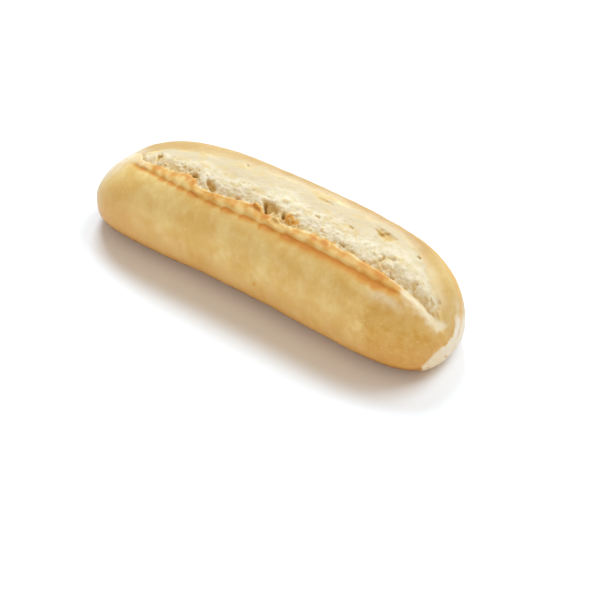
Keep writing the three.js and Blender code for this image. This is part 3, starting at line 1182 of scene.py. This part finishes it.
@dataclass
class Baking:
    """Where the oven browned the skin, and where it stayed pale.

    Places and reaches are in millimetres, or in degrees round the loaf, and strengths are shares.
    """

    grain: Grain = field(default_factory=lambda: Grain(seed=53))
    patch: NosePatch = field(default_factory=NosePatch)
    crumbs: LooseCrumbs = field(default_factory=LooseCrumbs)
    facet: Facet = field(default_factory=Facet)

    # The toast along the crease, with painted shade in the crease and under the ear's lip.
    flecks: Rough = Rough(0.5, 3.0, 3)
    groove_above: float = 0.55  # of the seam's width
    groove_below: tuple[float, float] = (0.9, 0.35)  # of that width, and how much more at a notch
    groove_toast_and_shade: tuple[float, float] = (0.75, 0.95)  # of the seam and of a notch
    # Shade below the crease: painted shade under the ear's lip, in a toasted colour.
    shade_from: Line = Line(
        ((-45, 0.1), (-20, 0.4), (8, 0.6), (22, 0.9), (38, 1), (50, 0.7), (62, 0.3), (74, 0.1))
    )
    shade_reach: float = 4.6
    shade_tone: tuple[float, float] = (0.4, 0.1)  # along the crease, and how much more at a notch
    shade_stop: float = 0.6  # past the crease

    # The toast of the ear's lip, and of the bead of crust behind it.
    lip_reach: tuple[float, float] = (1.0, 1.6)  # and how much more in a fleck
    lip_inset: float = 0.5
    lip_end: Rise = Rise(0.2, 1.6, 1, 0)
    # Where the torn lip browned: x, half its length and how strongly.
    lip_marks: tuple[tuple[float, float, float], ...] = (
        (-52.4, 2.2, 0.9), (-47.2, 1.5, 0.8), (-43, 2.2, 0.5), (-36.5, 2.8, 0.9), (-32, 1.8, 0.7),
        (-24.5, 1.4, 0.5), (-19.6, 2.1, 0.9), (-13, 1.6, 0.3), (-10.2, 2, 0.8), (-2.9, 2.2, 1.0),
        (0.9, 1.3, 0.7), (5.2, 2.4, 0.9), (20.5, 1.6, 0.3), (28.7, 1.8, 0.8), (34.6, 2.7, 1.0),
        (43, 2.4, 0.5), (52.5, 2.2, 0.5), (60, 3, 0.85), (68, 2, 0.3),
    )
    lip_tone: float = 0.2  # between its marks
    lip_flecks: Rise = Rise(-0.1, 0.6)
    bead_start: Rise = Rise(-0.2, 0.8, 0, 0.2)
    bead_end: Rise = Rise(-0.8, 0.2, 1, 0)

    # The toast elsewhere, and painted contact shade along the foot.
    flake: Spot = Spot((15.2, -11.0), (3.78, 1.98))  # on the crown, by x and y
    flake_floor: float = 30.0
    flake_tone: float = 0.1
    flake_grit: Rough = Rough(0.5, 1.4, 2, shift=11)
    flake_gain: float = 1.3
    # The foot's toast is browning and painted contact shade by the heel.
    foot: Rise = Rise(2.0, 10.5, 1.1, 0)
    foot_spared: float = 0.8  # by the bare patch
    heel_tone: tuple[float, float] = (0.55, 0.45)  # of the foot's, and how much more in a fleck
    mole: Spot = Spot((9.4, 15.4), (0.9, 0.9))  # in the front flank, by x and z
    mole_tone: float = 0.8
    crumb_gain: float = 2.0  # for each millimetre that a loose crumb stands out
    crumb_most: float = 0.9
    rim: tuple[float, float, float] = (43, 11, 0.36)  # degrees, half its width and how strongly

    # Where the crust stayed pale, and painted highlights on the turned crust and the streak.
    pale_drift: Rough = Rough(1.6, 9.0, 2)
    pale_bead: Rise = Rise(-62, -54, 0.85, 0.05)  # by x
    pale_bead_start: Rise = Rise(0.2, 1.2)
    pale_bead_end: float = 0.5
    # The turned crust at the nose is pale, partly a painted highlight along the lip.
    turned_start: Rise = Rise(60, 69)  # of the crust turned over at the nose, by x
    turned_end: Rise = Rise(82, 86, 1, 0)
    turned_reach: Rise = Rise(62, 77, 1.6, 6.5)
    turned_full: float = 0.3  # the share of its reach, and the distance past the edge
    turned_pale_and_highlight: float = 0.8
    turned_fray: Rough = Rough(1.3, (5.0, 1.6, 1.6), shift=5)
    # The streak is a painted highlight on the flank below the crease at the nose.
    highlight_streak: tuple[float, float] = (4.4, 2.3)  # below the crease, and its width
    highlight_streak_place: tuple[float, float] = (66, 7.5)  # its middle and half its length, by x
    highlight_streak_drift: float = 0.3
    highlight_streak_tone: float = 0.75
    beside_reach: float = 4.0
    beside_inset: float = 0.5
    beside: Rise = Rise(-60, -10, 0, 0.4)  # the strip beyond the crumb, by x

    # The flour.
    flour_drift: tuple[Rough, Rough] = (Rough(3.0, 9.0, 2), Rough(1.5, 2.6, 3, shift=3))
    tail_pale: Line = Line(
        (
            (-90, -95), (-20, -95), (40, -89), (75, -72), (100, -66), (122, -73), (160, -78),
            (185, -75), (205, -69), (225, -68), (270, -95),
        )
    )
    tail_edge: Rise = Rise(-5.5, 8.0)
    tail_round: Rise = Rise(150, 185, 0.8, 0.65)  # by angle
    tail_tip: Rise = Rise(-87, -81, 0.3, 1)  # by x
    tip_drift: float = 0.5
    rolled: tuple[Rise, Rise, Rise] = (Rise(80, 84), Rise(12, 20), Rise(-1, 7, 0, 0.45))  # by x, z, y
    patch_flour: Rise = Rise(-14, -4, 0.3325, 0.95)  # by y

    # The bake, the tan beyond the slash and the blush of the lower flanks; the bake on the back, the tan
    # and the blush are partly painted shade.
    bake_plain: float = 0.3
    bake_nose: tuple[Rise, Rise] = (Rise(38, 74, 0, 0.9), Rise(100, 120))  # by x and by angle
    back_bake_and_shade: Rise = Rise(34, 60, 0.25, 0)  # by angle: deeper on the back, partly painted shade against the lamps there
    tan_edge: Rise = Rise(-1.8, 0.3)
    tan_round: Rise = Rise(-80, -60)  # by angle
    tan_tail: Rise = Rise(-45, 5, 0.8, 1)  # by x
    tan_nose: Rise = Rise(58, 76, 1, 0.45)  # by x
    blush_and_shade_drift: Rough = Rough(2.0, 12.0, 2)
    blush_and_shade_low: float = 3.0
    blush_and_shade_top: Rise = Rise(-64, -32, 36.0, 24.0)  # by x

    def toast_and_shade(self, site: Site) -> Array:
        """Works out the browning, and the painted shade in the crease, under the ear and along the foot.

        Args:
            site: The points.

        Returns:
            How toasted or shaded each point is, from 0 to 1.
        """
        fleck = 0.5 + self.flecks.at(self.grain, site.points)
        notch = site.slash.notch(site.x)
        ear = site.ear * (self.crease_toast_and_shade(site, fleck, notch) + self.lip_toast(site, fleck))
        grit = 0.5 + self.flake_grit.at(self.grain, site.points)
        flake = self.flake.at(site.x, site.y) * (site.z > self.flake_floor)
        flake = flake * (self.flake_tone + self.flake_gain * grit)
        plain, more = self.heel_tone
        foot = self.foot.at(site.z) * (1 - self.foot_spared * self.patch.at(site))
        foot = foot * np.where(site.on_heel, plain + more * fleck, 1)
        mole = self.mole_tone * self.mole.at(site.x, site.z) * (site.y < 0)
        loose = np.clip(self.crumb_gain * self.crumbs.at(site), 0, self.crumb_most)
        angle, width, strength = self.rim
        rim = strength * bump(site.angle - angle, width) * (1 - site.torn)
        return np.clip(ear + flake + foot + mole + loose + rim, 0, 1)

    def crease_toast_and_shade(self, site: Site, fleck: Array, notch: Array) -> Array:
        """The browning and painted shade of the crease, and the painted shade under the ear's lip on the
        strip of crust below it.

        Args:
            site: The points.
            fleck: The fine flecks, from 0 to 1; not used.
            notch: How deep each point lies in a notch of the ear.

        Returns:
            How toasted each point is.
        """
        plain, more = self.groove_below
        share = np.where(site.crease > 0, self.groove_above, plain + more * notch)
        width = site.slash.seam_width.at(site.x) * share
        seam_tone, notch_tone = self.groove_toast_and_shade
        groove = seam_tone * site.slash.seam.at(site.x) + notch_tone * notch
        plain, more = self.shade_tone
        shade = bump(np.minimum(site.crease, 0), self.shade_reach)
        shade = shade * (plain * self.shade_from.at(site.x) + more * notch)
        return bump(site.crease, width) * groove + np.where(site.crease < self.shade_stop, shade, 0)

    def lip_toast(self, site: Site, fleck: Array) -> Array:
        """The browning of the torn lip, in marks, and faintly of the bead behind it.

        Args:
            site: The points.
            fleck: The fine flecks, from 0 to 1.

        Returns:
            How toasted each point is.
        """
        plain, more = self.lip_reach
        lip = bump(np.minimum(site.edge + self.lip_inset, 0), plain + more * fleck)
        lip = lip * self.lip_end.at(site.edge)
        marks = sum(strong * bump(site.x - place, reach) for place, reach, strong in self.lip_marks)
        marks = np.clip(self.lip_tone + marks, 0, 1) * self.lip_flecks.at(fleck)
        return lip * marks + self.bead_start.at(site.crease) * self.bead_end.at(site.edge)

    def pale(self, site: Site) -> Array:
        """Works out where the crust stayed pale, with painted highlights on the turned crust and in the
        streak.

        Args:
            site: The points.

        Returns:
            How pale each point is, from 0 to 1.
        """
        drift = self.pale_drift.at(self.grain, site.points)
        bead = self.pale_bead.at(site.x + drift) * self.pale_bead_start.at(site.crease)
        bead = bead * (site.edge < self.pale_bead_end) * site.opened
        reach = self.turned_reach.at(site.x)
        fray = self.turned_fray.at(self.grain, site.points)
        turned = 1 - smoothstep(fray - site.edge, self.turned_full * reach, reach)
        turned = self.turned_pale_and_highlight * turned * (site.edge < self.turned_full)
        turned = turned * self.turned_start.at(site.x) * self.turned_end.at(site.x)
        below, width = self.highlight_streak
        place, length = self.highlight_streak_place
        highlight_streak = bump(site.crease + below + self.highlight_streak_drift * drift, width)
        highlight_streak = self.highlight_streak_tone * highlight_streak * bump(site.x - place, length)
        beside = bump(np.minimum(site.far - self.beside_inset + drift, 0), self.beside_reach)
        beside = beside * site.on_far_side * site.opened * self.beside.at(site.x)
        whole = bead + self.patch.at(site) + turned + highlight_streak + self.facet.at(site) + beside
        return np.clip(whole, 0, 1)

    def flour(self, site: Site) -> Array:
        """Works out the flour at the tail, on the turned crust and in the bare patch.

        Args:
            site: The points.

        Returns:
            How floury each point is, from 0 to 1.
        """
        drift = sum(rough.at(self.grain, site.points) for rough in self.flour_drift)
        tail = self.tail_edge.at(self.tail_pale.at(site.angle) + drift - site.x)
        tail = tail * self.tail_round.at(site.angle)
        tail = tail * self.tail_tip.at(site.x + self.tip_drift * drift)
        along, up, back = self.rolled
        rolled = along.at(site.x) * up.at(site.z) * back.at(site.y + drift)
        return np.clip(tail + rolled + self.patch.at(site) * self.patch_flour.at(site.y), 0, 1)

    def bake(self, site: Site) -> Array:
        """How much of the deeper colour of the bake each point has; on the back it is partly painted shade.

        Args:
            site: The points.

        Returns:
            The share, over 1 where the bake is deepest.
        """
        along, turned = self.bake_nose
        nose = along.at(site.x) * turned.at(site.angle)
        return self.bake_plain + nose + self.back_bake_and_shade.at(site.angle)

    def tan(self, site: Site) -> Array:
        """How much each point has the duller tan of the crust beyond the slash, partly painted shade over
        the lamp-lit far crust.
        """
        beyond = self.tan_edge.at(-site.far) * site.on_far_side * self.tan_round.at(site.angle)
        return beyond * self.tan_tail.at(site.x) * self.tan_nose.at(site.x)

    def blush_and_shade(self, site: Site) -> Array:
        """How much of the warmer tint of the lower flanks and the heel each point has: partly painted
        shade, darker towards the bottom.
        """
        height = site.z + self.blush_and_shade_drift.at(self.grain, site.points)
        return 1 - smoothstep(height, self.blush_and_shade_low, self.blush_and_shade_top.at(site.x))


# ------------------------------------------------------------------------------------ finishes


@dataclass(frozen=True)
class Patches:
    """Soft patches of colour, cut out of noise."""

    size: float  # millimetres
    detail: float  # how many finer sizes they have
    rise: Rise  # from no patch to full
    stretch: tuple[float, float, float] = (1, 1, 1)


@dataclass
class Shader:
    """A material's node tree, with short ways to add the nodes that the finishes use."""

    name: str
    material: bpy.types.Material = field(init=False)

    def __post_init__(self) -> None:
        """Makes the material with an empty tree."""
        self.material = bpy.data.materials.new(self.name)
        self.material.use_nodes = True
        self.material.node_tree.nodes.clear()

    def add(self, kind: str, **settings: object) -> bpy.types.Node:
        """Adds a node and sets its properties.

        Args:
            kind: The node's type.
            **settings: Its properties, by name.

        Returns:
            The node.
        """
        node = self.material.node_tree.nodes.new(kind)
        for key, value in settings.items():
            setattr(node, key, value)
        return node

    def plug(self, socket: bpy.types.NodeSocket, value: object) -> None:
        """Links a socket to another one, or sets its value.

        Args:
            socket: The socket to fill.
            value: Another socket, a colour or a number.
        """
        if isinstance(value, bpy.types.NodeSocket):
            self.material.node_tree.links.new(value, socket)
        elif isinstance(value, tuple):
            socket.default_value = (*value, 1.0) if len(socket.default_value) == 4 else value
        else:
            socket.default_value = value

    def layer(self, layer: Layer) -> bpy.types.NodeSocket:
        """One of the mesh's layers."""
        return self.add("ShaderNodeAttribute", attribute_name=layer.value).outputs["Fac"]

    def noise(
        self, size: float, detail: float, stretch: tuple[float, float, float] = (1, 1, 1)
    ) -> bpy.types.NodeSocket:
        """Noise in the loaf's own space.

        Args:
            size: Its lumps in millimetres.
            detail: How many finer sizes it adds.
            stretch: How much longer its lumps are along each axis.

        Returns:
            The noise's value, mostly between 0.3 and 0.7.
        """
        place = self.add("ShaderNodeTexCoord").outputs["Object"]
        scaled = self.add("ShaderNodeMapping")
        self.plug(scaled.inputs["Vector"], place)
        scaled.inputs["Scale"].default_value = [1 / (size * MM * s) for s in stretch]
        noise = self.add("ShaderNodeTexNoise")
        self.plug(noise.inputs["Vector"], scaled.outputs["Vector"])
        self.plug(noise.inputs["Scale"], 1.0)
        self.plug(noise.inputs["Detail"], detail)
        return noise.outputs["Fac"]

    def ramp(self, value: object, rise: Rise) -> bpy.types.NodeSocket:
        """Maps a value smoothly, as the rise says.

        Args:
            value: What to map.
            rise: Where the result changes, and from what to what.

        Returns:
            The mapped value.
        """
        node = self.add("ShaderNodeMapRange", interpolation_type="SMOOTHSTEP")
        given = (value, rise.low, rise.high, rise.first, rise.last)
        for socket, one in zip(node.inputs[:5], given):
            self.plug(socket, one)
        return node.outputs["Result"]

    def patches(self, kind: Patches) -> bpy.types.NodeSocket:
        """How much of such a patch each place is in."""
        return self.ramp(self.noise(kind.size, kind.detail, kind.stretch), kind.rise)

    def times(self, first: object, second: object) -> bpy.types.NodeSocket:
        """Two values multiplied, and held from 0 to 1.

        Args:
            first: A socket or a number.
            second: A socket or a number.

        Returns:
            The product's socket.
        """
        node = self.add("ShaderNodeMath", operation="MULTIPLY", use_clamp=True)
        self.plug(node.inputs[0], first)
        self.plug(node.inputs[1], second)
        return node.outputs["Value"]

    def mix(self, share: object, under: object, over: object) -> bpy.types.NodeSocket:
        """Lays one colour over another.

        Args:
            share: How much of it, from 0 to 1.
            under: The colour below.
            over: The colour on top.

        Returns:
            The colour that comes of it.
        """
        node = self.add("ShaderNodeMix", data_type="RGBA", clamp_factor=True)
        self.plug(node.inputs["Factor"], share)
        self.plug(node.inputs[MIX_UNDER], under)
        self.plug(node.inputs[MIX_OVER], over)
        return node.outputs[MIX_RESULT]


@dataclass(frozen=True)
class CrustFinish:
    """Golden crust with its mottling, its warmer foot with painted contact shade, its browned seams with
    painted shade under the ear, a tan partly painted as shade, and its pale ends with painted highlights.
    """

    golden: Colour = linear(233, 206, 137)
    deep: Colour = linear(223, 185, 106)
    light: Colour = linear(238, 219, 162)
    baked: Colour = linear(206, 157, 68)
    # The tan is partly painted shade over the lamp-lit far crust.
    tan: Colour = linear(166, 117, 54)
    # The blush is partly painted shade, darker towards the heel.
    blush_and_shade: Colour = linear(209, 154, 84)
    # The toasted and browned colours also paint the shade in the crease and under the ear.
    toasted: Colour = linear(214, 160, 74)
    browned: Colour = linear(205, 133, 47)
    # The pale colour also paints highlights on the turned crust and the streak at the nose.
    pale: Colour = linear(234, 216, 180)
    floury: Colour = linear(232, 219, 198)
    # Painted contact shade along the foot, by the heel.
    foot: Colour = linear(156, 104, 58)
    roughness: float = 0.6
    broad: Patches = Patches(14, 4, Rise(0.4, 0.65))
    streaks: Patches = Patches(3.4, 4, Rise(0.5, 0.74, 0, 0.3), (1.0, 1.9, 2.1))
    clouds: Patches = Patches(6.5, 5, Rise(0.5, 0.7, 0, 0.35))
    mottle: Patches = Patches(5.0, 6, Rise(0.3, 0.74))
    fine: Patches = Patches(2.0, 6, Rise(0.44, 0.66, 0, 0.3))
    specks: Patches = Patches(1.3, 2, Rise(0.66, 0.76, 0, 0.4))
    worn: Patches = Patches(2.8, 4, Rise(0.3, 0.55, 0.72, 1))
    dust: Patches = Patches(3.2, 4, Rise(0.34, 0.6, 0.55, 0.95))
    tan_share: float = 0.8
    blush_and_shade_share: float = 0.8
    whole_bake: Rise = Rise(0.8, 1.3, 0, 0.7)  # where the bake covers what lies between its mottles
    plain: Rise = Rise(0, 1, 1, 0.25)  # how much of the fine patches and specks is left in the tan
    toasting: Rise = Rise(0.05, 0.6)
    browning: Rise = Rise(0.5, 1.1)
    foot_shade_rise: Rise = Rise(0.88, 1, 0, 0.9)

    def colour(self, shader: Shader) -> bpy.types.NodeSocket:
        """Builds the crust's colour.

        Args:
            shader: The tree to add to.

        Returns:
            The colour's socket.
        """
        colour = shader.mix(shader.patches(self.broad), self.golden, self.deep)
        for patches in (self.streaks, self.clouds):
            colour = shader.mix(shader.patches(patches), colour, self.light)
        tan, bake = shader.layer(Layer.TAN), shader.layer(Layer.BAKE)
        colour = shader.mix(shader.times(tan, self.tan_share), colour, self.tan)
        for share in (shader.times(shader.patches(self.mottle), bake), shader.ramp(bake, self.whole_bake)):
            colour = shader.mix(share, colour, self.baked)
        blush_and_shade = shader.times(shader.layer(Layer.BLUSH_AND_SHADE), self.blush_and_shade_share)
        colour = shader.mix(blush_and_shade, colour, self.blush_and_shade)
        plain = shader.ramp(tan, self.plain)
        overlays = (
            (self.fine, plain, self.deep),
            (self.specks, plain, self.light),
            (self.worn, shader.layer(Layer.PALE), self.pale),
            (self.dust, shader.layer(Layer.FLOUR), self.floury),
        )
        for patches, where, over in overlays:
            colour = shader.mix(shader.times(shader.patches(patches), where), colour, over)
        return colour

    def toast_and_shade(self, shader: Shader, colour: object) -> bpy.types.NodeSocket:
        """Browns a colour where the mesh says so, and paints shade in the crease, under the ear and along
        the foot.

        Args:
            shader: The tree to add to.
            colour: The colour to brown.

        Returns:
            The browned colour's socket.
        """
        toast_and_shade = shader.layer(Layer.TOAST_AND_SHADE)
        colour = shader.mix(shader.ramp(toast_and_shade, self.toasting), colour, self.toasted)
        colour = shader.mix(shader.ramp(toast_and_shade, self.browning), colour, self.browned)
        # Painted contact shade along the foot.
        foot = shader.ramp(shader.layer(Layer.BLUSH_AND_SHADE), self.foot_shade_rise)
        return shader.mix(shader.times(foot, toast_and_shade), colour, self.foot)


@dataclass(frozen=True)
class CrumbFinish:
    """Torn crumb: floury cream, with yellow patches, painted shade in its pores and hollows, and a dull
    painted shade where it is smooth.
    """

    cream: Colour = linear(227, 213, 184)
    shade: Colour = linear(220, 203, 161)
    # Yellow serves the crumb's own patches and the golden painted shade of shallow hollows.
    yellow: Colour = linear(212, 176, 104)
    # Dull is painted shade over the smooth far crumb.
    dull_shade: Colour = linear(202, 180, 142)
    # Pore and hole colours are painted shade in pores and hollows.
    pore_shade: Colour = linear(198, 160, 92)
    hole_shade: Colour = linear(168, 118, 54)
    roughness: float = 0.92
    shades: Patches = Patches(3.0, 4, Rise(0.4, 0.66))
    smooth: Rise = Rise(0.1, 0.34, 0.9, 0)  # from the smoothest crumb, in the dull painted shade, to the craggy
    yellows: Patches = Patches(6, 3, Rise(0.5, 0.68, 0, 0.55), (1.8, 1, 1))
    # Dots of painted pore shade where the crumb is craggy.
    dots: Patches = Patches(0.9, 2, Rise(0.6, 0.7))
    shallow: Rise = Rise(0.08, 0.55, 0, 0.65)  # of the cavities, for their golden painted shade
    deep: Rise = Rise(0.4, 0.95)
    deepest: Rise = Rise(0.9, 1.5)

    def colour(self, shader: Shader) -> bpy.types.NodeSocket:
        """Builds the crumb's colour.

        Args:
            shader: The tree to add to.

        Returns:
            The colour's socket.
        """
        crag = shader.layer(Layer.CRAG)
        colour = shader.mix(shader.patches(self.shades), self.cream, self.shade)
        colour = shader.mix(shader.ramp(crag, self.smooth), colour, self.dull_shade)
        colour = shader.mix(shader.patches(self.yellows), colour, self.yellow)
        colour = shader.mix(shader.times(shader.patches(self.dots), crag), colour, self.pore_shade)
        cavity = shader.layer(Layer.CAVITY)
        # Painted shade in the hollows: golden, then darker, then darkest as they deepen.
        tones = ((self.shallow, self.yellow), (self.deep, self.pore_shade), (self.deepest, self.hole_shade))
        for rise, over in tones:
            colour = shader.mix(shader.ramp(cavity, rise), colour, over)
        return colour


@dataclass(frozen=True)
class RollFinish:
    """The loaf's whole skin: crust and crumb in one material, shared out by the mesh's layers."""

    crust: CrustFinish = CrustFinish()
    crumb: CrumbFinish = CrumbFinish()
    gloss: float = 0.4
    bumps: tuple[float, float] = (0.2, 0.25)  # how strong on crust and crumb
    bump_reach: float = 0.3  # millimetres
    bump_noise: tuple[float, float] = (0.55, 4)  # millimetres, and how many finer sizes
    let_through: tuple[float, float] = (0.1, 0.3)  # how much light passes through crust and crumb
    light_reach: float = 3.0  # millimetres
    light_tint: Colour = (1.0, 0.7, 0.45)  # how far each colour of it reaches

    def make(self) -> bpy.types.Material:
        """Builds the material.

        Returns:
            The material, with every node in place.
        """
        shader = Shader("baked_bread")
        torn = shader.layer(Layer.CRUMB)
        colour = shader.mix(torn, self.crust.colour(shader), self.crumb.colour(shader))
        colour = self.crust.toast_and_shade(shader, colour)
        surface = shader.add("ShaderNodeBsdfPrincipled")
        shader.plug(surface.inputs["Base Color"], colour)
        rough = shader.ramp(torn, Rise(0, 1, self.crust.roughness, self.crumb.roughness))
        shader.plug(surface.inputs["Roughness"], rough)
        shader.plug(surface.inputs["Specular IOR Level"], self.gloss)
        through = shader.ramp(torn, Rise(0, 1, *self.let_through))
        shader.plug(surface.inputs["Subsurface Weight"], through)
        shader.plug(surface.inputs["Subsurface Radius"], self.light_tint)
        shader.plug(surface.inputs["Subsurface Scale"], self.light_reach * MM)
        bumps = shader.add("ShaderNodeBump")
        shader.plug(bumps.inputs["Height"], shader.noise(*self.bump_noise))
        shader.plug(bumps.inputs["Strength"], shader.ramp(torn, Rise(0, 1, *self.bumps)))
        shader.plug(bumps.inputs["Distance"], self.bump_reach * MM)
        shader.plug(surface.inputs["Normal"], bumps.outputs["Normal"])
        output = shader.add("ShaderNodeOutputMaterial")
        shader.plug(output.inputs["Surface"], surface.outputs["BSDF"])
        return shader.material


# ------------------------------------------------------------------------------------ the roll


@dataclass
class Roll:
    """The bread itself: one closed skin with all its relief, in one material."""

    slash: Slash
    crumb: CrumbRelief = field(default_factory=CrumbRelief)
    crust: CrustRelief = field(default_factory=CrustRelief)
    baking: Baking = field(default_factory=Baking)
    finish: RollFinish = RollFinish()
    name: str = "bolillo_roll"

    def build(self) -> bpy.types.Object:
        """Builds the mesh, dresses it and ties it to the frame.

        Returns:
            The roll's object.
        """
        net = Net(self.slash)
        plain = net.spread()
        faces = net.faces()
        facing = outward(plain, faces)
        site = Site(plain, net.station, net.angle, self.slash)
        height, cavity = self.crumb.at(site)
        height = height + self.crust.at(site)
        on_heel = plain[:, 2] <= 0
        points = plain + facing * np.where(on_heel, 0, height)[:, None]
        points[:, 2] = np.maximum(points[:, 2], 0)
        points[:, 2] += self.crust.heel(site)
        middle = (plain.min(axis=0) + plain.max(axis=0)) / 2
        box_middle = (np.array(ROLL_BOX[0]) + np.array(ROLL_BOX[1])) / 2 / MM
        points[:, :2] += box_middle[:2] - middle[:2]

        mesh = bpy.data.meshes.new(self.name)
        mesh.from_pydata((points * MM).tolist(), [], faces)
        mesh.shade_smooth()
        layers = {
            Layer.CRUMB: site.torn,
            Layer.CAVITY: cavity,
            Layer.TOAST_AND_SHADE: self.baking.toast_and_shade(site),
            Layer.PALE: self.baking.pale(site),
            Layer.FLOUR: self.baking.flour(site),
            Layer.BLUSH_AND_SHADE: self.baking.blush_and_shade(site),
            Layer.BAKE: self.baking.bake(site),
            Layer.TAN: self.baking.tan(site),
            Layer.CRAG: self.crumb.crag_tone * self.crumb.rough(site) * site.torn,
        }
        for layer, values in layers.items():
            held = mesh.attributes.new(layer.value, "FLOAT", "POINT")
            held.data.foreach_set("value", np.ascontiguousarray(values, np.float32))
        mesh.materials.append(self.finish.make())
        roll = bpy.data.objects.new(self.name, mesh)
        bpy.context.collection.objects.link(roll)
        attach(roll, "root")
        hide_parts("roll")
        return roll


# ---------------------------------------------------------------------------------- the studio


@dataclass
class Lamp:
    """A soft box that hangs on a sphere round the roll and faces it."""

    name: str
    azimuth: float  # degrees from +X towards +Y
    elevation: float
    size: tuple[float, float]  # metres
    power: float  # watts
    colour: Colour = (1.0, 1.0, 1.0)
    distance: float = 1.5

    def hang(self, target: Vector) -> bpy.types.Object:
        """Makes the light.

        Args:
            target: What it faces.

        Returns:
            The light's object.
        """
        light = bpy.data.lights.new(self.name, "AREA")
        light.shape = "RECTANGLE"
        light.size, light.size_y = self.size
        light.energy = self.power
        light.color = self.colour
        lamp = bpy.data.objects.new(self.name, light)
        turn, rise = math.radians(self.azimuth), math.radians(self.elevation)
        way = Vector((math.cos(turn) * math.cos(rise), math.sin(turn) * math.cos(rise), math.sin(rise)))
        lamp.location = target + way * self.distance
        lamp.rotation_euler = (target - lamp.location).to_track_quat("-Z", "Y").to_euler()
        bpy.context.collection.objects.link(lamp)
        return lamp


@dataclass
class Studio:
    """A pale floor, soft light and the camera."""

    floor_size: float = 12.0  # metres
    floor_colour: Colour = (0.94, 0.94, 0.94)
    fill_colour: Colour = (1.0, 0.88, 0.775)
    fill: float = 0.46
    azimuth: float = 37.84  # degrees, of the camera round the roll
    elevation: float = 39.95
    distance: float = 0.5975
    aim: tuple[float, float, float] = (0.0183, -0.0085, 0.0)
    lens: float = 89.3
    clip_start: float = 0.01
    lit: tuple[float, float, float] = (0, 0, 0.02)  # what the lamps face
    lamps: tuple[Lamp, ...] = (
        Lamp("left_softbox", 135, 46, (0.5, 0.5), 16, colour=(0.7, 0.855, 1.0), distance=1.4),
        Lamp("right_softbox", 70, 49, (0.85, 0.85), 15.5, colour=(0.7, 0.85, 1.0), distance=1.4),
        Lamp("front_fill", -68, 24, (1.2, 1.0), 6, colour=(1.0, 0.88, 0.66)),
    )

    def build(self) -> None:
        """Lays the floor, hangs the lights and sets the camera."""
        self.lay_floor()
        world = bpy.data.worlds.new("soft_fill")
        world.use_nodes = True
        sky = world.node_tree.nodes["Background"]
        sky.inputs["Color"].default_value = (*self.fill_colour, 1.0)
        sky.inputs["Strength"].default_value = self.fill
        bpy.context.scene.world = world
        for lamp in self.lamps:
            lamp.hang(Vector(self.lit))
        self.set_camera()
        bpy.context.scene.view_settings.view_transform = "Standard"

    def lay_floor(self) -> None:
        """Lays one large pale sheet under the roll."""
        half = self.floor_size / 2
        mesh = bpy.data.meshes.new("floor")
        corners = [(-half, -half, 0), (half, -half, 0), (half, half, 0), (-half, half, 0)]
        mesh.from_pydata(corners, [], [(0, 1, 2, 3)])
        shader = Shader("floor_paint")
        paint = shader.add("ShaderNodeBsdfDiffuse")
        shader.plug(paint.inputs["Color"], self.floor_colour)
        output = shader.add("ShaderNodeOutputMaterial")
        shader.plug(output.inputs["Surface"], paint.outputs["BSDF"])
        mesh.materials.append(shader.material)
        floor = bpy.data.objects.new("floor", mesh)
        bpy.context.collection.objects.link(floor)

    def set_camera(self) -> None:
        """Sets the camera at its angle over the roll."""
        data = bpy.data.cameras.new("camera")
        data.lens = self.lens
        data.clip_start = self.clip_start
        camera = bpy.data.objects.new("camera", data)
        turn, rise = math.radians(self.azimuth), math.radians(self.elevation)
        back = Vector((math.sin(turn) * math.cos(rise), -math.cos(turn) * math.cos(rise), math.sin(rise)))
        camera.location = Vector(self.aim) + back * self.distance
        camera.rotation_euler = back.to_track_quat("Z", "Y").to_euler()
        bpy.context.collection.objects.link(camera)
        bpy.context.scene.camera = camera


def main() -> None:
    """Builds the studio and the roll, and reports each piece."""
    logging.basicConfig(level=logging.INFO, format="%(name)s: %(message)s")
    Studio().build()
    low, high = ROLL_BOX
    loaf = Loaf(length=(high.x - low.x) / MM)
    roll = Roll(Slash(loaf)).build()
    log.info("%s: %d faces", roll.name, len(roll.data.polygons))


if __name__ == "__main__":
    main()
